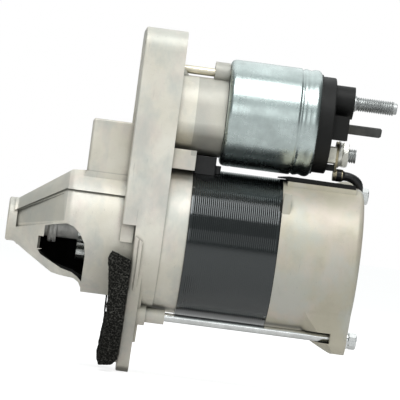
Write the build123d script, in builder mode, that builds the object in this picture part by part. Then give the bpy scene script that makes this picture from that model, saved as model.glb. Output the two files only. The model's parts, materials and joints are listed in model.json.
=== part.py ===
from build123d import *
import os
from math import acos, cos, hypot, pi, radians, sin, sqrt, tan

os.makedirs("parts", exist_ok=True)

# ---------------------------------------------------------------- driving dimensions (mm)
# The shaft lies on X. X = 0 is the flange's mounting face, the nose points to -X,
# and the solenoid sits above the motor on +Z.

# Drive-end housing
NOSE_TIP = -62.0
HUB_R = 12.0
HUB_END = -57.0
CONE_END = -31.5
CONE_R = 33.0
SPIGOT_R = 35.0
SADDLE_RISE = 1.3
FLANGE_THICK = 22.7
PLATE_FRONT = 7.7
PLATE_REAR = 14.5
DISC_R = 41.0
EAR_R = 12.5
EAR_Y = 24.0
EAR_Z = 101.0
LOWER_EAR_R = 13.5
LOWER_EAR_Z = -62.0
MOUNT_HOLE_R = 5.25
DOME_X = -22.0
DOME_HALF_W = 22.0
DOME_TOP = 60.5
DOME_FOOT = (-22.6, 22.6)
ARM_BOTTOM = 5.4
RING_R = 40.0
RING_BORE_R = 36.5
RING_SHOULDER = 18.8
RING_END = 35.6
NECK_Z = 69.5
NECK_R = 21.5
NECK_END = 49.0
NECK_BORE_R = 15.0
NECK_BORE_Z = 72.0

# Motor
YOKE_R = 41.0
YOKE_BORE_R = 37.0
YOKE_END = 85.3
COVER_END = 130.5
COVER_WALL = 3.5
BOLT_R = 2.4
BOLT_POINTS = [(-15.0, -42.4), (24.9, 37.5)]
BOLT_HEAD_X = 131.4
CORE_R = 30.2
COMMUTATOR_R = 15.0
JOURNAL_R = 5.0

# Solenoid
SOL_Z = 73.5
SOL_R = 29.5
CAN_FRONT = 49.3
CAN_END = 99.8
CAN_WALL = 2.0
PLUNGER_R = 12.95
PLUNGER_GUIDE_R = 13.0
CORE_FACE = 81.2
CAP_FACE = 107.8
CAP_R = 26.6
BATTERY_Z = 87.4
MOTOR_STUD_Z = 58.5
STUD_R = 4.0
STUD_COLLAR_R = 4.5
STUD_COLLAR_END = 120.4
BATTERY_STUD_END = 141.2
DOG_POINT = (1.9, 3.1)
MOTOR_STUD_END = 123.9
CRIMP_GROOVE = (88.2, 90.4)
SCREW_CIRCLE_R = 20.8
SCREW_R = 2.3

# Drive train
SHAFT_R = 6.8
TIP_JOURNAL_R = 6.5
MID_JOURNAL_R = 9.0
RUNNING_GAP = 0.05
SPLINES = 6
SPLINE_R = 8.6
PINION_FRONT = -22.5
PINION_WIDTH = 15.0
PINION_TEETH = 12
PINION_MODULE = 2.5
CLUTCH_R = 22.0
RACE_R = 11.0
ROLLERS = 5
ROLLER_R = 2.6
SLEEVE_END = 18.0
GROOVE = (10.2, 16.5)
GEAR_MODULE = 1.5
SUN_TEETH = 12
PLANET_TEETH = 15
RING_TEETH = 42
GEAR_BACKLASH = 0.14
PLANETS = 3
PIN_R = 3.0
GEARS = (26.6, 35.2)
PLANET_CIRCLE_R = GEAR_MODULE * (SUN_TEETH + PLANET_TEETH) / 2

# Fork lever
PIVOT = (7.5, 45.0)
LEVER_TIP = (11.5, 73.5)
SHOE_X = sum(GROOVE) / 2
FORK_Y = (15.5, 18.4)

# Lead from the solenoid to the brushes: corner points of its route
LEAD_R = 2.6
LEAD_ROUTE = [
    (117.0, 0.0, 47.0),
    (122.4, 0.2, 46.9),
    (127.6, 1.6, 44.4),
    (128.6, 4.6, 39.2),
    (126.0, 7.2, 34.2),
    (118.8, 8.2, 30.8),
    (111.5, 8.4, 29.6),
    (105.2, 8.5, 29.1),
]


# ---------------------------------------------------------------- shape helpers
def turn(outline, z=0.0, mode=Mode.ADD):
    """Revolve an outline of (x, radius) points about the line along X at height z."""
    with BuildSketch(Plane.XZ) as profile:
        with BuildLine():
            Polyline(*[(x, radius + z) for x, radius in outline], close=True)
        make_face()
    revolve(profile.sketch, axis=Axis((0, 0, z), (1, 0, 0)), mode=mode)


def bar(start, end, radius, at=((0.0, 0.0),), mode=Mode.ADD):
    """Round bars along X between two stations, one on each (y, z) centre."""
    with BuildSketch(Plane.YZ.offset(start)) as section:
        with Locations(*at):
            Circle(radius)
    extrude(section.sketch, amount=end - start, mode=mode)


def tube(start, end, outer, inner, z=0.0):
    """A plain ring along X."""
    turn([(start, inner), (end, inner), (end, outer), (start, outer)], z)


def block(x, y, z, mode=Mode.ADD):
    """A box between a low and a high station on each axis."""
    with Locations(((x[0] + x[1]) / 2, (y[0] + y[1]) / 2, (z[0] + z[1]) / 2)):
        Box(x[1] - x[0], y[1] - y[0], z[1] - z[0], mode=mode)


def side_prism(outline, y, mode=Mode.ADD):
    """A prism whose (x, z) outline is seen from the side, between two y stations."""
    with BuildSketch(Plane.XZ.offset(-y[1])) as side:
        with BuildLine():
            Polyline(*outline, close=True)
        make_face()
    extrude(side.sketch, amount=y[1] - y[0], mode=mode)


def end_prism(outline, x, mode=Mode.ADD):
    """A prism whose (y, z) outline is seen along the shaft, between two x stations."""
    with BuildSketch(Plane.YZ.offset(x[0])) as end:
        with BuildLine():
            Polyline(*outline, close=True)
        make_face()
    extrude(end.sketch, amount=x[1] - x[0], mode=mode)


def hull(x, circles, mode=Mode.ADD):
    """A plate between two x stations, wrapped round (y, z, radius) circles."""
    with BuildSketch(Plane.YZ.offset(x[0])) as plate:
        for y, z, radius in circles:
            with Locations((y, z)):
                Circle(radius)
        make_hull()
    extrude(plate.sketch, amount=x[1] - x[0], mode=mode)


def coil(start, end, radius, wire_r, turns, centre=(0.0, 0.0)):
    """A compression spring along X."""
    height = end - start - 2 * wire_r
    with BuildLine() as path:
        Helix(height / turns, height, radius, center=(start + wire_r, *centre), direction=(1, 0, 0))
    with BuildSketch(Plane(origin=path.line @ 0, z_dir=path.line % 0)) as wire:
        Circle(wire_r)
    sweep(wire.sketch, path=path.line, is_frenet=True)


def involute_flank(base_r, root_r, tip_r, steps=5):
    """Radius and swept angle along an involute, from the root circle to the tip circle."""
    low = max(base_r, root_r)
    flank = [] if root_r >= base_r else [(root_r, 0.0)]
    for step in range(steps + 1):
        radius = low + (tip_r - low) * step / steps
        pressure = acos(base_r / radius)
        flank.append((radius, tan(pressure) - pressure))
    return flank


def gear_outline(teeth, module, addendum, dedendum, thin, pressure_deg=25.0, turned=0.0):
    """Outline of an external gear whose first tooth is centred at the angle turned."""
    pitch_r = teeth * module / 2
    pressure = radians(pressure_deg)
    base_r = pitch_r * cos(pressure)
    half_tooth = (pi * module / 2 - thin) / (2 * pitch_r) + tan(pressure) - pressure
    flank = involute_flank(base_r, pitch_r - dedendum * module, pitch_r + addendum * module)
    outline = []
    for tooth in range(teeth):
        middle = radians(turned) + 2 * pi * tooth / teeth
        rising = [(radius, middle - half_tooth + swept) for radius, swept in flank]
        falling = [(radius, middle + half_tooth - swept) for radius, swept in reversed(flank)]
        outline += [(radius * cos(a), radius * sin(a)) for radius, a in rising + falling]
    return outline


def gear(x, outline, centre=(0.0, 0.0), mode=Mode.ADD):
    """A gear along X between two stations."""
    end_prism([(y + centre[0], z + centre[1]) for y, z in outline], x, mode=mode)


def lead_radii(points):
    """The largest arcs that a route's corners allow."""
    radii = []
    for before, corner, after in zip(points, points[1:], points[2:]):
        first = Vector(*corner) - Vector(*before)
        second = Vector(*after) - Vector(*corner)
        half_turn = radians(first.get_angle(second)) / 2
        radii.append(0.45 * min(first.length, second.length) / tan(half_turn))
    return radii


def save(piece, name):
    """Label a finished piece and write it."""
    piece.part.label = name
    export_step(piece.part, f"parts/{name}.step")


screw_points = [
    (SCREW_CIRCLE_R * sin(radians(a)), SOL_Z + SCREW_CIRCLE_R * cos(radians(a))) for a in (0, 120, 240)
]

# ---------------------------------------------------------------- drive-end housing
NOSE_SIDE = [
    (NOSE_TIP, -13.0),
    (NOSE_TIP, 12.5),
    (HUB_END, 12.0),
    (-29.7, 31.2),
    (DOME_X, 31.8),
    (DOME_X, 37.0),
    (30.0, 37.0),
    (30.0, -36.0),
    (-17.0, -36.0),
    (-17.3, -33.0),
    (-19.2, -29.4),
    (-22.2, -27.5),
    (-30.0, -26.8),
    (-34.5, -26.0),
    (-39.5, -23.0),
    (-49.5, -16.8),
    (-54.5, -13.5),
]
LEDGE_SIDE = [(-58.5, 5.0), (-32.0, 20.5), (0.0, 20.5), (0.0, 60.0), (-58.5, 60.0)]
FACET_SIDE = [(-56.8, 5.0), (-33.0, 17.8), (-31.5, 3.0), (-41.0, 0.0), (-56.8, -4.0)]
WINDOW_SIDE = [
    (-41.0, -1.0),
    (-37.0, 0.2),
    (-29.5, 1.7),
    (-25.5, 0.5),
    (-21.5, -3.0),
    (-18.7, -8.0),
    (-17.6, -14.0),
    (-17.6, -29.0),
    (-20.0, -26.6),
    (-23.5, -24.4),
    (-29.5, -22.9),
    (-35.5, -20.0),
    (-41.5, -17.0),
    (-43.4, -14.6),
    (-41.0, -13.8),
    (-43.8, -13.8),
    (-43.8, -7.0),
    (-41.0, -7.0),
]

with BuildPart() as nose:
    turn(
        [
            (NOSE_TIP, 0.0),
            (NOSE_TIP, HUB_R - 0.8),
            (NOSE_TIP + 0.8, HUB_R),
            (HUB_END, HUB_R),
            (CONE_END, CONE_R),
            (CONE_END + 4.0, SPIGOT_R),
            (PLATE_FRONT + 2.0, SPIGOT_R),
            (PLATE_FRONT + 2.0, 0.0),
        ]
    )
    side_prism(NOSE_SIDE, (-45, 45), mode=Mode.INTERSECT)

with BuildPart() as saddle:
    turn(
        [
            (HUB_END - 1.5, 0.0),
            (HUB_END - 1.5, HUB_R + SADDLE_RISE),
            (HUB_END, HUB_R + SADDLE_RISE),
            (CONE_END, CONE_R + SADDLE_RISE),
            (CONE_END + 4.0, SPIGOT_R + SADDLE_RISE),
            (0.0, SPIGOT_R + SADDLE_RISE),
            (0.0, 0.0),
        ]
    )
    side_prism(NOSE_SIDE, (-45, 45), mode=Mode.INTERSECT)
    side_prism(LEDGE_SIDE, (-45, 45), mode=Mode.INTERSECT)

with BuildPart() as facets:
    turn(
        [
            (HUB_END, HUB_R - 1.8),
            (CONE_END, CONE_R - 0.2),
            (CONE_END, CONE_R + 8.0),
            (HUB_END, HUB_R + 8.0),
        ]
    )
    side_prism(FACET_SIDE, (-45, 0), mode=Mode.INTERSECT)
    mirror(about=Plane.XZ)

with BuildPart() as nose_cavity:
    turn(
        [
            (-42.6, 0.0),
            (-42.6, 18.0),
            (-30.5, 27.6),
            (-26.0, 31.0),
            (RING_SHOULDER, 31.0),
            (RING_SHOULDER, 0.0),
        ]
    )
    side_prism(
        [
            (-42.6, -15.0),
            (-35.0, -20.4),
            (-22.5, -23.6),
            (-17.0, -26.5),
            (-13.5, -31.5),
            (RING_SHOULDER, -31.5),
            (RING_SHOULDER, 31.5),
            (-24.0, 31.5),
            (-24.0, 27.8),
            (-30.0, 27.0),
            (-42.6, 16.0),
        ],
        (-45, 45),
        mode=Mode.INTERSECT,
    )

with BuildPart() as dome:
    block((DOME_X, 4.0), (-DOME_HALF_W, DOME_HALF_W), (18.0, DOME_TOP))
    fillet(dome.edges().filter_by(Axis.Z).sort_by(Axis.X)[:2], 1.2)
    fillet(dome.faces().sort_by(Axis.Z)[-1].edges(), 1.1)
    # Flared foot where the dome stands on the cone
    side_prism([(DOME_X, 31.6), (DOME_X - 2.4, 26.4), (0.0, 26.4), (0.0, 31.6)], DOME_FOOT)

with BuildPart() as arm:
    hull(
        (0.0, FLANGE_THICK),
        [(-EAR_Y, EAR_Z, EAR_R), (EAR_Y, EAR_Z, EAR_R), (0.0, 0.0, DISC_R)],
    )
    fillet(arm.edges().group_by(Axis.X)[0], 0.8)
    block((-5, PLATE_FRONT), (-60, 60), (-60, ARM_BOTTOM), mode=Mode.SUBTRACT)

with BuildPart() as lower_plate:
    hull((PLATE_FRONT, PLATE_REAR), [(0.0, 0.0, DISC_R), (0.0, LOWER_EAR_Z, LOWER_EAR_R)])
    fillet(lower_plate.edges().group_by(Axis.X)[0], 0.8)
    hull((PLATE_REAR, PLATE_REAR + 1.7), [(0.0, 0.0, DISC_R - 1.0), (0.0, -49.5, 10.0)])
    bar(0.0, PLATE_FRONT, 9.0, [(0.0, LOWER_EAR_Z)])

with BuildPart() as rim:
    turn(
        [
            (8.0, 38.0),
            (8.0, 42.8),
            (8.6, 43.2),
            (9.8, 43.2),
            (10.0, 42.7),
            (10.4, 42.7),
            (10.6, 43.2),
            (12.0, 43.2),
            (12.4, 42.6),
            (12.4, 38.0),
        ]
    )
    side_prism([(7.9, 0.0), (12.5, -3.0), (12.5, -38.0), (7.9, -38.0)], (-50, 50), mode=Mode.INTERSECT)

with BuildPart() as drive_end_housing:
    add(nose.part)
    add(saddle.part)
    add(facets.part, mode=Mode.SUBTRACT)
    add(dome.part)
    add(arm.part)
    add(lower_plate.part)
    add(rim.part)
    # Ring towards the motor, with the bosses for the through bolts
    bar(PLATE_REAR, FLANGE_THICK, RING_R + 1.0)
    bar(FLANGE_THICK, RING_END, RING_R)
    bar(PLATE_REAR, 19.5, 6.0, BOLT_POINTS)
    bar(19.5, 30.0, 4.2, BOLT_POINTS)
    # Seat for the fork's cover, overhanging the ring
    block((FLANGE_THICK - 1.0, RING_END), (-26.0, 26.0), (39.0, 49.8))
    block((FLANGE_THICK - 1.0, RING_END), (-10.0, 10.0), (30.0, 42.0))
    # Solenoid seat: a round neck with three screw lobes
    hull(
        (FLANGE_THICK - 1.0, NECK_END),
        [(0.0, NECK_Z, NECK_R)] + [(y, z, 6.3) for y, z in screw_points[1:]],
    )
    bar(40.8, NECK_END, 6.2, screw_points[:1])
    side_prism(
        [(21.0, 94.0), (24.4, 94.0), (29.0, 88.0), (21.0, 88.0)], (-4.0, 4.0)
    )
    # Small stop block above the foam
    with Locations((3.4, -34.5, 1.4), (3.4, 34.5, 1.4)):
        Box(6.8, 4.0, 11.2)
    # Inside: nose, lever chamber, gear ring, neck
    add(nose_cavity.part, mode=Mode.SUBTRACT)
    side_prism(
        [(-18.4, 0.0), (-18.4, 57.0), (RING_SHOULDER, 57.0), (RING_SHOULDER, 0.0)],
        (-19.0, 19.0),
        mode=Mode.SUBTRACT,
    )
    block((3.5, 24.0), (-6.5, 6.5), (50.0, 72.0), mode=Mode.SUBTRACT)
    bar(3.5, NECK_END - 4.0, NECK_BORE_R, [(0.0, NECK_BORE_Z)], mode=Mode.SUBTRACT)
    bar(NECK_END - 5.0, NECK_END, PLUNGER_GUIDE_R + 0.4, [(0.0, SOL_Z)], mode=Mode.SUBTRACT)
    bar(RING_SHOULDER, RING_END, RING_BORE_R, mode=Mode.SUBTRACT)
    bar(NOSE_TIP + 2.5, -40.0, 8.5, mode=Mode.SUBTRACT)
    # Window over the pinion, on one side only
    side_prism(WINDOW_SIDE, (-45.0, -3.0), mode=Mode.SUBTRACT)
    # Holes: mounting ears, solenoid screws, through bolts, lever pin
    bar(-1.0, 24.0, MOUNT_HOLE_R, [(-EAR_Y, EAR_Z), (EAR_Y, EAR_Z)], mode=Mode.SUBTRACT)
    bar(-1.0, 20.0, MOUNT_HOLE_R, [(0.0, LOWER_EAR_Z)], mode=Mode.SUBTRACT)
    bar(-1.0, NECK_END, SCREW_R + 0.2, screw_points, mode=Mode.SUBTRACT)
    bar(-1.0, 6.0, 5.2, screw_points, mode=Mode.SUBTRACT)
    bar(17.0, RING_END + 1.0, BOLT_R, BOLT_POINTS, mode=Mode.SUBTRACT)
    with Locations(Location((PIVOT[0], 0, PIVOT[1]), (90, 0, 0))):
        Cylinder(PIN_R, 48.0, mode=Mode.SUBTRACT)
    # Pockets in the mounting face
    for side in (-1, 1):
        with BuildSketch(Plane.YZ) as pocket:
            with Locations((side * 30.0, 52.0)):
                SlotOverall(62.0, 7.5, rotation=90)
        extrude(pocket.sketch, amount=15.0, mode=Mode.SUBTRACT)
save(drive_end_housing, "drive_end_housing")

# ---------------------------------------------------------------- fixed pieces round the shaft
with BuildPart() as nose_bushing:
    tube(NOSE_TIP + 2.6, -43.0, 8.5, TIP_JOURNAL_R + RUNNING_GAP)
save(nose_bushing, "nose_bushing")

FOAM_SIDE = [
    (-3.4, -9.2),
    (-5.2, -13.2),
    (-2.2, -34.0),
    (-1.9, -50.0),
    (-3.0, -61.0),
    (-3.7, -67.5),
    (-3.0, -72.5),
    (4.6, -72.0),
    (7.2, -68.5),
    (PLATE_FRONT, -60.0),
    (PLATE_FRONT, -13.4),
]
with BuildPart() as foam_seal:
    end_prism(
        [(-46, -8), (46, -8), (46, -48), (26, -73), (-26, -73), (-46, -48)],
        (-6.0, PLATE_FRONT),
    )
    side_prism(FOAM_SIDE, (-50, 50), mode=Mode.INTERSECT)
    bar(-8.0, 9.0, SPIGOT_R + 3.2, mode=Mode.SUBTRACT)
    hull((-8.0, 9.0), [(0.0, LOWER_EAR_Z, 10.5), (0.0, -30.0, 10.5)], mode=Mode.SUBTRACT)
    block((-8.0, 9.0), (-10.5, 10.5), (-80.0, LOWER_EAR_Z), mode=Mode.SUBTRACT)
save(foam_seal, "foam_seal")

with BuildPart() as bearing_plate:
    turn(
        [
            (RING_SHOULDER, 12.0),
            (RING_SHOULDER, RING_BORE_R),
            (22.0, RING_BORE_R),
            (22.0, 12.0),
        ]
    )
save(bearing_plate, "bearing_plate")

with BuildPart() as intermediate_bushing:
    tube(RING_SHOULDER, 22.0, 12.0, MID_JOURNAL_R + RUNNING_GAP)
save(intermediate_bushing, "intermediate_bushing")

ring_space = gear_outline(RING_TEETH, GEAR_MODULE, 1.05, 0.85, -GEAR_BACKLASH)
with BuildPart() as ring_gear:
    bar(22.0, RING_END - 0.2, RING_BORE_R)
    bar(22.0, GEARS[0] - 0.4, GEAR_MODULE * RING_TEETH / 2 + 2.0, mode=Mode.SUBTRACT)
    gear((GEARS[0] - 1.0, RING_END), ring_space, mode=Mode.SUBTRACT)
save(ring_gear, "ring_gear")

with BuildPart() as lever_pin:
    with Locations(Location((PIVOT[0], 0, PIVOT[1]), (90, 0, 0))):
        Cylinder(PIN_R - RUNNING_GAP, 47.6)
save(lever_pin, "lever_pin")

# ---------------------------------------------------------------- motor, fixed pieces
with BuildPart() as yoke:
    tube(RING_END, YOKE_END, YOKE_R, YOKE_BORE_R)
save(yoke, "yoke")

with BuildPart() as magnets:
    tube(46.0, 80.0, YOKE_BORE_R, CORE_R + 0.8)
    for gap in range(6):
        with Locations(Location((63.0, 0, 0), (60.0 * gap, 0, 0))):
            Box(40.0, 5.0, 90.0, mode=Mode.SUBTRACT)
save(magnets, "magnets")

with BuildPart() as motor_lead:
    with BuildLine() as lead_line:
        FilletPolyline(*LEAD_ROUTE, radius=lead_radii(LEAD_ROUTE))
    with BuildSketch(Plane(origin=lead_line.line @ 0, z_dir=lead_line.line % 0)) as lead_section:
        Circle(LEAD_R)
    sweep(lead_section.sketch, path=lead_line.line)
save(motor_lead, "motor_lead")

with BuildPart() as lead_grommet:
    block((121.5, COVER_END - 0.8), (0.4, 12.0), (30.5, 41.6))
    fillet(lead_grommet.edges().filter_by(Axis.Z), 1.5)
    add(motor_lead.part, mode=Mode.SUBTRACT)
save(lead_grommet, "lead_grommet")

with BuildPart() as rear_shell:
    bar(YOKE_END, COVER_END, YOKE_R)
    fillet(rear_shell.edges().group_by(Axis.X)[-1], 3.5)
    block((87.5, 125.6), (-17.0, 17.0), (30.0, 40.0))
    block((YOKE_END, 89.5), (-34.6, -30.0), (21.0, 33.0))


LUG_SLOT_X = (98.0, 120.9)
LUG_SLOT_Z = (-45.2, -39.6)


def bolt_lug(point, radius, start):
    """A lug round one through bolt, growing out of the cover along its length."""
    y, z = point
    reach = hypot(y, z)
    with BuildPart() as lug:
        hull((start, COVER_END - 0.4), [(0.0, 0.0, 38.0), (y, z, radius)])
        turn(
            [
                (start, 0.0),
                (start, 38.0),
                (121.8, reach + radius - 1.2),
                (123.2, reach + radius),
                (COVER_END - 0.4, reach + radius),
                (COVER_END - 0.4, 0.0),
            ],
            mode=Mode.INTERSECT,
        )
    return lug.part


with BuildPart() as rear_cover:
    add(rear_shell.part)
    add(bolt_lug(BOLT_POINTS[0], 8.2, 100.0))
    add(bolt_lug(BOLT_POINTS[1], 7.0, 108.0))
    block((87.5, 125.6), (-17.0, 17.0), (40.0, 45.0), mode=Mode.SUBTRACT)
    bar(YOKE_END, COVER_END - 4.0, YOKE_R - COVER_WALL, mode=Mode.SUBTRACT)
    bar(COVER_END - 13.0, COVER_END - 3.0, 11.5)
    bar(COVER_END - 13.0, COVER_END - 3.5, 8.0, mode=Mode.SUBTRACT)
    bar(YOKE_END, COVER_END, BOLT_R + 0.4, BOLT_POINTS, mode=Mode.SUBTRACT)
    # the lower lug is open on its side, so the bolt shows as far as the end wall
    block(LUG_SLOT_X, (-27.0, -12.2), LUG_SLOT_Z, mode=Mode.SUBTRACT)
    block((121.5, COVER_END + 1.0), (0.4, 12.0), (30.5, 44.0), mode=Mode.SUBTRACT)
save(rear_cover, "rear_cover")

with BuildPart() as rear_bushing:
    tube(COVER_END - 13.0, COVER_END - 3.5, 8.0, JOURNAL_R + RUNNING_GAP)
save(rear_bushing, "rear_bushing")

with BuildPart() as through_bolts:
    bar(24.0, BOLT_HEAD_X, BOLT_R, BOLT_POINTS)
    bar(COVER_END - 0.4, BOLT_HEAD_X, 4.6, BOLT_POINTS)
    with BuildSketch(Plane.YZ.offset(BOLT_HEAD_X)) as heads:
        with Locations(*BOLT_POINTS):
            RegularPolygon(8.0 / sqrt(3), 6)
    extrude(heads.sketch, amount=4.6)
save(through_bolts, "through_bolts")

with BuildPart() as cover_strip:
    side_prism(
        [
            (83.6, 41.4),
            (88.0, 41.4),
            (88.0, 40.0),
            (125.4, 40.0),
            (125.0, 42.4),
            (88.0, 42.8),
            (83.6, 42.2),
        ],
        (-14.0, 14.0),
    )
    block((120.8, 126.0), (0.0, 15.0), (38.0, 44.0), mode=Mode.SUBTRACT)
save(cover_strip, "cover_strip")

with BuildPart() as yoke_seal:
    block((RING_END, 47.4), (-16.0, 16.0), (36.0, 47.8))
    block((47.0, 50.4), (-13.0, 13.0), (36.0, 43.4))
    fillet(yoke_seal.edges().filter_by(Axis.Z), 1.0)
    bar(RING_END - 1.0, 52.0, YOKE_R + 0.05, [(0.0, 0.0)], mode=Mode.SUBTRACT)
save(yoke_seal, "yoke_seal")

# ---------------------------------------------------------------- brush gear
BRUSH_X = (91.0, 101.0)
BRUSH_ANGLES = (45, 135, 225, 315)
with BuildPart() as brush_plate:
    tube(102.5, 104.5, YOKE_R - COVER_WALL, 17.0)
save(brush_plate, "brush_plate")

with BuildPart() as brush_holders:
    for angle in BRUSH_ANGLES:
        with Locations(Location((0, 0, 0), (angle, 0, 0))):
            with Locations((96.2, 0.0, 24.2)):
                Box(12.6, 11.0, 11.0)
                Box(10.6, 8.4, 13.0, mode=Mode.SUBTRACT)
save(brush_holders, "brush_holders")

with BuildPart() as brushes:
    for angle in BRUSH_ANGLES:
        with Locations(Location((0, 0, 0), (angle, 0, 0))):
            with Locations((96.2, 0.0, 21.6)):
                Box(10.2, 8.0, 14.4)
    bar(BRUSH_X[0] - 2.0, BRUSH_X[1] + 2.0, COMMUTATOR_R + 0.35, mode=Mode.SUBTRACT)
save(brushes, "brushes")

with BuildPart() as brush_springs:
    for angle in (0, 90, 180, 270):
        centre = (29.0 * sin(radians(angle)), 29.0 * cos(radians(angle)))
        coil(92.0, 102.0, 3.6, 0.6, 5, centre)
save(brush_springs, "brush_springs")

# ---------------------------------------------------------------- armature
with BuildPart() as armature_shaft:
    turn(
        [
            (19.0, 0.0),
            (19.0, JOURNAL_R - 0.4),
            (19.4, JOURNAL_R),
            (GEARS[0] - 0.4, JOURNAL_R),
            (GEARS[0] - 0.4, 7.0),
            (38.5, 7.0),
            (38.5, 7.6),
            (112.0, 7.6),
            (112.0, JOURNAL_R),
            (125.6, JOURNAL_R),
            (126.0, JOURNAL_R - 0.4),
            (126.0, 0.0),
        ]
    )
    gear((GEARS[0] - 0.2, 36.4), gear_outline(SUN_TEETH, GEAR_MODULE, 0.85, 1.05, GEAR_BACKLASH))
save(armature_shaft, "armature_shaft")

with BuildPart() as armature_core:
    tube(46.0, 80.0, CORE_R, 7.6)
    with BuildSketch(Plane.YZ.offset(46.0)) as slots:
        with PolarLocations(CORE_R - 5.0, 18):
            Rectangle(8.6, 4.0)
        with PolarLocations(CORE_R, 18):
            Rectangle(4.0, 1.6)
    extrude(slots.sketch, amount=34.0, mode=Mode.SUBTRACT)
save(armature_core, "armature_core")

with BuildPart() as armature_winding:
    for start, end in ((38.8, 46.0), (80.0, 87.4)):
        turn([(start, 13.0), (end, 13.0), (end, 29.4), (start + 3.0, 29.4), (start, 26.0)])
    with BuildSketch(Plane.YZ.offset(45.5)) as bars:
        with PolarLocations(CORE_R - 5.0, 18):
            Rectangle(8.0, 3.4)
    extrude(bars.sketch, amount=35.0)
save(armature_winding, "armature_winding")

with BuildPart() as commutator:
    tube(88.0, 101.5, COMMUTATOR_R, 7.6)
    tube(87.4, 89.6, COMMUTATOR_R + 2.6, 7.6)
    with BuildSketch(Plane.YZ.offset(86.0)) as mica:
        with PolarLocations(COMMUTATOR_R + 1.5, 18):
            Rectangle(4.6, 0.6)
    extrude(mica.sketch, amount=17.0, mode=Mode.SUBTRACT)
save(commutator, "commutator")

# ---------------------------------------------------------------- output shaft and planets
spline_angles = [360.0 / SPLINES * n for n in range(SPLINES)]
planet_angles = [360.0 / PLANETS * n for n in range(PLANETS)]
planet_points = [
    (PLANET_CIRCLE_R * cos(radians(a)), PLANET_CIRCLE_R * sin(radians(a))) for a in planet_angles
]
with BuildPart() as output_shaft:
    turn(
        [
            (-59.0, 0.0),
            (-59.0, TIP_JOURNAL_R - 0.6),
            (-58.4, TIP_JOURNAL_R),
            (-41.0, TIP_JOURNAL_R),
            (-41.0, SHAFT_R),
            (-5.0, SHAFT_R),
            (-5.0, 7.2),
            (RING_SHOULDER - 0.5, 7.2),
            (RING_SHOULDER - 0.5, MID_JOURNAL_R),
            (22.4, MID_JOURNAL_R),
            (22.4, 25.6),
            (GEARS[0] - 0.8, 25.6),
            (GEARS[0] - 0.8, 0.0),
        ]
    )
    for angle in spline_angles:
        with Locations(Location((6.5, 0, 0), (angle, 0, 0))):
            with Locations((0.0, 0.0, (SPLINE_R + 6.0) / 2)):
                Box(23.0, 3.0, SPLINE_R - 6.0)
    bar(18.4, GEARS[0], JOURNAL_R + RUNNING_GAP, mode=Mode.SUBTRACT)
    bar(22.0, GEARS[0], PIN_R, planet_points, mode=Mode.SUBTRACT)
    turn([(-36.6, 6.2), (-34.2, 6.2), (-34.2, 7.5), (-36.6, 7.5)], mode=Mode.SUBTRACT)
save(output_shaft, "output_shaft")

with BuildPart() as snap_ring:
    tube(-36.2, -34.6, 7.4, 6.25)
save(snap_ring, "snap_ring")

with BuildPart() as stop_collar:
    turn(
        [
            (-39.0, SHAFT_R + 0.05),
            (-39.0, 9.0),
            (-38.2, 9.8),
            (-36.9, 9.8),
            (-36.9, 9.0),
            (-36.3, 9.0),
            (-36.3, 9.8),
            (-34.6, 9.8),
            (-34.3, 9.4),
            (-34.3, 7.5),
            (-36.6, 7.5),
            (-36.6, SHAFT_R + 0.05),
        ]
    )
save(stop_collar, "stop_collar")

with BuildPart() as planet_pins:
    bar(GEARS[0] - 3.6, GEARS[1] - 0.2, PIN_R, planet_points)
save(planet_pins, "planet_pins")

for number, (angle, centre) in enumerate(zip(planet_angles, planet_points), start=1):
    with BuildPart() as planet:
        outline = gear_outline(PLANET_TEETH, GEAR_MODULE, 0.85, 1.05, GEAR_BACKLASH, turned=angle)
        gear((GEARS[0], GEARS[1] - 0.4), outline, centre)
        bar(GEARS[0], GEARS[1], PIN_R + RUNNING_GAP, [centre], mode=Mode.SUBTRACT)
    save(planet, f"planet_gear_{number}")

# ---------------------------------------------------------------- clutch and pinion
RACE_END = 4.0
with BuildPart() as pinion:
    gear(
        (PINION_FRONT, PINION_FRONT + PINION_WIDTH),
        gear_outline(PINION_TEETH, PINION_MODULE, 1.0, 1.15, 0.2, pressure_deg=20.0),
    )
    bar(PINION_FRONT + PINION_WIDTH, RACE_END, RACE_R)
    bar(PINION_FRONT, RACE_END, SHAFT_R + RUNNING_GAP, mode=Mode.SUBTRACT)
    bar(PINION_FRONT + PINION_WIDTH, RACE_END, SPLINE_R + 0.5, mode=Mode.SUBTRACT)
save(pinion, "pinion")

roller_points = [
    ((RACE_R + ROLLER_R + 0.3) * cos(radians(a)), (RACE_R + ROLLER_R + 0.3) * sin(radians(a)))
    for a in [360.0 / ROLLERS * n for n in range(ROLLERS)]
]
with BuildPart() as clutch_shell:
    bar(-6.6, 6.0, CLUTCH_R)
    fillet(clutch_shell.edges().group_by(Axis.X)[0], 1.5)
    bar(-7.0, 4.6, RACE_R + 0.4, mode=Mode.SUBTRACT)
    bar(-4.4, 4.6, ROLLER_R + 0.4, roller_points, mode=Mode.SUBTRACT)
    bar(4.0, 6.0, SPLINE_R + 0.4, mode=Mode.SUBTRACT)
save(clutch_shell, "clutch_shell")

with BuildPart() as clutch_rollers:
    bar(-4.0, 4.2, ROLLER_R, roller_points)
save(clutch_rollers, "clutch_rollers")

with BuildPart() as clutch_sleeve:
    bar(6.0, SLEEVE_END, 10.6)
    bar(GROOVE[0] - 1.3, GROOVE[0], 15.0)
    bar(GROOVE[1], SLEEVE_END, 15.0)
    bar(6.0, SLEEVE_END, 7.3, mode=Mode.SUBTRACT)
    for angle in spline_angles:
        with Locations(Location((12.0, 0, 0), (angle, 0, 0))):
            with Locations((0.0, 0.0, (SPLINE_R + 6.08) / 2)):
                Box(14.0, 3.16, SPLINE_R + 0.08 - 6.0, mode=Mode.SUBTRACT)
save(clutch_sleeve, "clutch_sleeve")

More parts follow.
